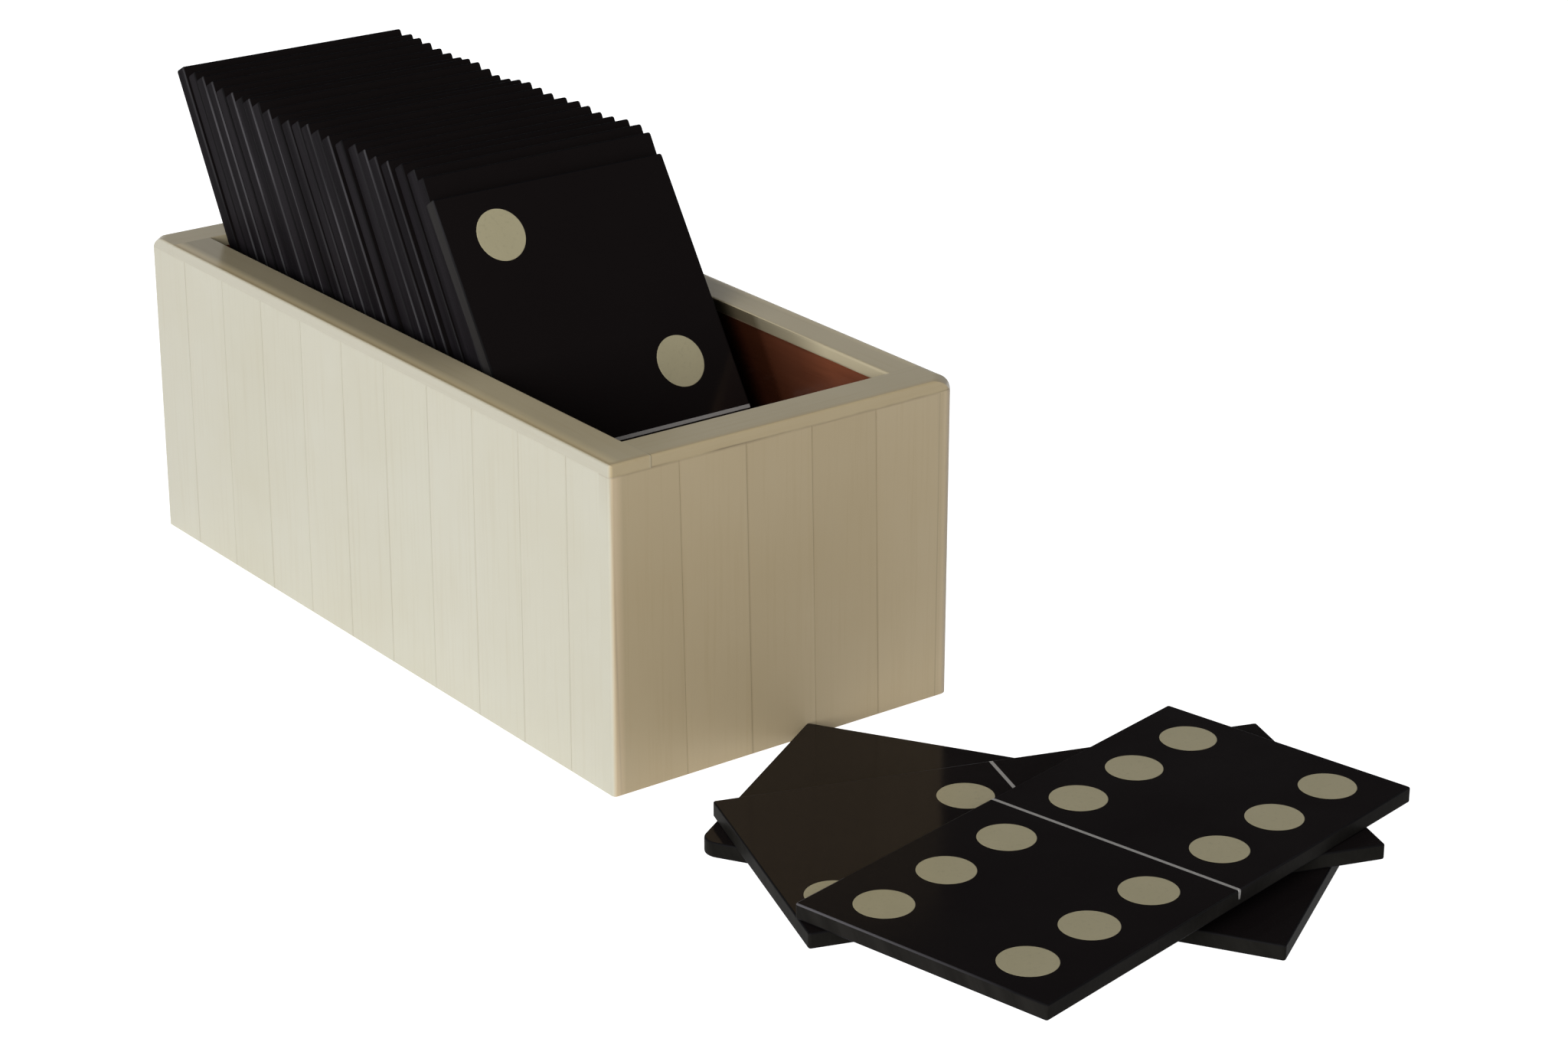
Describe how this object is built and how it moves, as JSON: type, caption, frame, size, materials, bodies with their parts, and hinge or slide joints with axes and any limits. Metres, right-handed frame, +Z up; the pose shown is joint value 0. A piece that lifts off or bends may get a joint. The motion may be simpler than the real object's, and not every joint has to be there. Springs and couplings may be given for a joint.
{
  "type": "domino storage box",
  "caption": "Open wooden box faced with bone slips that holds a double-six set of large black dominoes leaning in a row, with loose tiles laid in front.",
  "frame": {"origin": "centre of the box's underside", "axes": "+Z up; X across the short side of the box; Y along its length, the tiles facing -Y, where the loose tiles lie"},
  "size_m": [0.1468, 0.3683, 0.1218],
  "materials": {
    "bone_slips": "polished, cream with faint tonal differences from slip to slip",
    "bone_rim": "polished to a gloss",
    "stained_wood": "dark red-brown stain under gloss varnish",
    "plain_wood": "satin",
    "baize": "woven wool cloth",
    "black_tile": "polished black",
    "bone_pips": "satin, greenish cream"
  },
  "bodies": {
    "box": {"front_wall": "stained_wood", "rear_wall": "stained_wood", "left_wall": "stained_wood", "right_wall": "stained_wood", "bottom_board": "plain_wood", "baize": "baize", "front_slips": "bone_slips", "rear_slips": "bone_slips", "left_slips": "bone_slips", "right_slips": "bone_slips", "front_rim": "bone_rim", "rear_rim": "bone_rim", "left_rim": "bone_rim", "right_rim": "bone_rim"},
    "tile_2_4": {"tile_2_4": "black_tile"},
    "tile_4_5": {"tile_4_5": "black_tile"},
    "tile_0_4": {"tile_0_4": "black_tile"},
    "tile_1_5": {"tile_1_5": "black_tile"},
    "tile_3_5": {"tile_3_5": "black_tile"},
    "tile_0_0": {"tile_0_0": "black_tile"},
    "tile_1_2": {"tile_1_2": "black_tile"},
    "tile_2_6": {"tile_2_6": "black_tile"},
    "tile_4_6": {"tile_4_6": "black_tile"},
    "tile_0_5": {"tile_0_5": "black_tile"},
    "tile_1_6": {"tile_1_6": "black_tile"},
    "tile_3_6": {"tile_3_6": "black_tile"},
    "tile_0_1": {"tile_0_1": "black_tile"},
    "tile_1_3": {"tile_1_3": "black_tile"},
    "tile_3_3": {"tile_3_3": "black_tile"},
    "tile_5_5": {"tile_5_5": "black_tile"},
    "tile_0_6": {"tile_0_6": "black_tile"},
    "tile_2_2": {"tile_2_2": "black_tile"},
    "tile_4_4": {"tile_4_4": "black_tile"},
    "tile_0_3": {"tile_0_3": "black_tile"},
    "tile_1_4": {"tile_1_4": "black_tile"},
    "tile_3_4": {"tile_3_4": "black_tile"},
    "tile_5_6": {"tile_5_6": "black_tile"},
    "tile_1_1": {"tile_1_1": "black_tile"},
    "tile_2_3": {"tile_2_3": "black_tile", "inlays_2_3": "bone_pips"},
    "tile_0_2": {"tile_0_2": "black_tile", "inlays_0_2": "bone_pips"},
    "tile_2_5": {"tile_2_5": "black_tile", "inlays_2_5": "bone_pips"},
    "tile_6_6": {"tile_6_6": "black_tile", "inlays_6_6": "bone_pips"}
  },
  "joints": [
    {"name": "tile_2_4_lift", "type": "slide", "parent": "box", "child": "tile_2_4", "axis": [0, 0.4879, 0.8729], "range_m": [0, 0.09]},
    {"name": "tile_4_5_lift", "type": "slide", "parent": "box", "child": "tile_4_5", "axis": [0, 0.4888, 0.8724], "range_m": [0, 0.09]},
    {"name": "tile_0_4_lift", "type": "slide", "parent": "box", "child": "tile_0_4", "axis": [0, 0.4897, 0.8719], "range_m": [0, 0.09]},
    {"name": "tile_1_5_lift", "type": "slide", "parent": "box", "child": "tile_1_5", "axis": [0, 0.4906, 0.8714], "range_m": [0, 0.09]},
    {"name": "tile_3_5_lift", "type": "slide", "parent": "box", "child": "tile_3_5", "axis": [0, 0.4916, 0.8708], "range_m": [0, 0.09]},
    {"name": "tile_0_0_lift", "type": "slide", "parent": "box", "child": "tile_0_0", "axis": [0, 0.4925, 0.8703], "range_m": [0, 0.09]},
    {"name": "tile_1_2_lift", "type": "slide", "parent": "box", "child": "tile_1_2", "axis": [0, 0.4934, 0.8698], "range_m": [0, 0.09]},
    {"name": "tile_2_6_lift", "type": "slide", "parent": "box", "child": "tile_2_6", "axis": [0, 0.4943, 0.8693], "range_m": [0, 0.09]},
    {"name": "tile_4_6_lift", "type": "slide", "parent": "box", "child": "tile_4_6", "axis": [0, 0.4953, 0.8687], "range_m": [0, 0.09]},
    {"name": "tile_0_5_lift", "type": "slide", "parent": "box", "child": "tile_0_5", "axis": [0, 0.4962, 0.8682], "range_m": [0, 0.09]},
    {"name": "tile_1_6_lift", "type": "slide", "parent": "box", "child": "tile_1_6", "axis": [0, 0.4971, 0.8677], "range_m": [0, 0.09]},
    {"name": "tile_3_6_lift", "type": "slide", "parent": "box", "child": "tile_3_6", "axis": [0, 0.498, 0.8672], "range_m": [0, 0.09]},
    {"name": "tile_0_1_lift", "type": "slide", "parent": "box", "child": "tile_0_1", "axis": [0, 0.4989, 0.8666], "range_m": [0, 0.09]},
    {"name": "tile_1_3_lift", "type": "slide", "parent": "box", "child": "tile_1_3", "axis": [0, 0.4999, 0.8661], "range_m": [0, 0.09]},
    {"name": "tile_3_3_lift", "type": "slide", "parent": "box", "child": "tile_3_3", "axis": [0, 0.5008, 0.8656], "range_m": [0, 0.09]},
    {"name": "tile_5_5_lift", "type": "slide", "parent": "box", "child": "tile_5_5", "axis": [0, 0.5017, 0.865], "range_m": [0, 0.09]},
    {"name": "tile_0_6_lift", "type": "slide", "parent": "box", "child": "tile_0_6", "axis": [0, 0.5026, 0.8645], "range_m": [0, 0.09]},
    {"name": "tile_2_2_lift", "type": "slide", "parent": "box", "child": "tile_2_2", "axis": [0, 0.5035, 0.864], "range_m": [0, 0.09]},
    {"name": "tile_4_4_lift", "type": "slide", "parent": "box", "child": "tile_4_4", "axis": [0, 0.5045, 0.8634], "range_m": [0, 0.09]},
    {"name": "tile_0_3_lift", "type": "slide", "parent": "box", "child": "tile_0_3", "axis": [0, 0.5054, 0.8629], "range_m": [0, 0.09]},
    {"name": "tile_1_4_lift", "type": "slide", "parent": "box", "child": "tile_1_4", "axis": [0, 0.5063, 0.8624], "range_m": [0, 0.09]},
    {"name": "tile_3_4_lift", "type": "slide", "parent": "box", "child": "tile_3_4", "axis": [0, 0.5072, 0.8618], "range_m": [0, 0.09]},
    {"name": "tile_5_6_lift", "type": "slide", "parent": "box", "child": "tile_5_6", "axis": [0, 0.5081, 0.8613], "range_m": [0, 0.09]},
    {"name": "tile_1_1_lift", "type": "slide", "parent": "box", "child": "tile_1_1", "axis": [0, 0.509, 0.8607], "range_m": [0, 0.09]},
    {"name": "tile_2_3_lift", "type": "slide", "parent": "box", "child": "tile_2_3", "axis": [0, 0.509, 0.8607], "range_m": [0, 0.09]},
    {"name": "tile_0_2_lift", "type": "slide", "parent": "box", "child": "tile_0_2", "axis": [0, 0, 1], "range_m": [0, 0.06]},
    {"name": "tile_2_5_lift", "type": "slide", "parent": "tile_0_2", "child": "tile_2_5", "axis": [0, 0, 1], "range_m": [0, 0.06]},
    {"name": "tile_6_6_lift", "type": "slide", "parent": "tile_2_5", "child": "tile_6_6", "axis": [0, 0, 1], "range_m": [0, 0.06]}
  ]
}
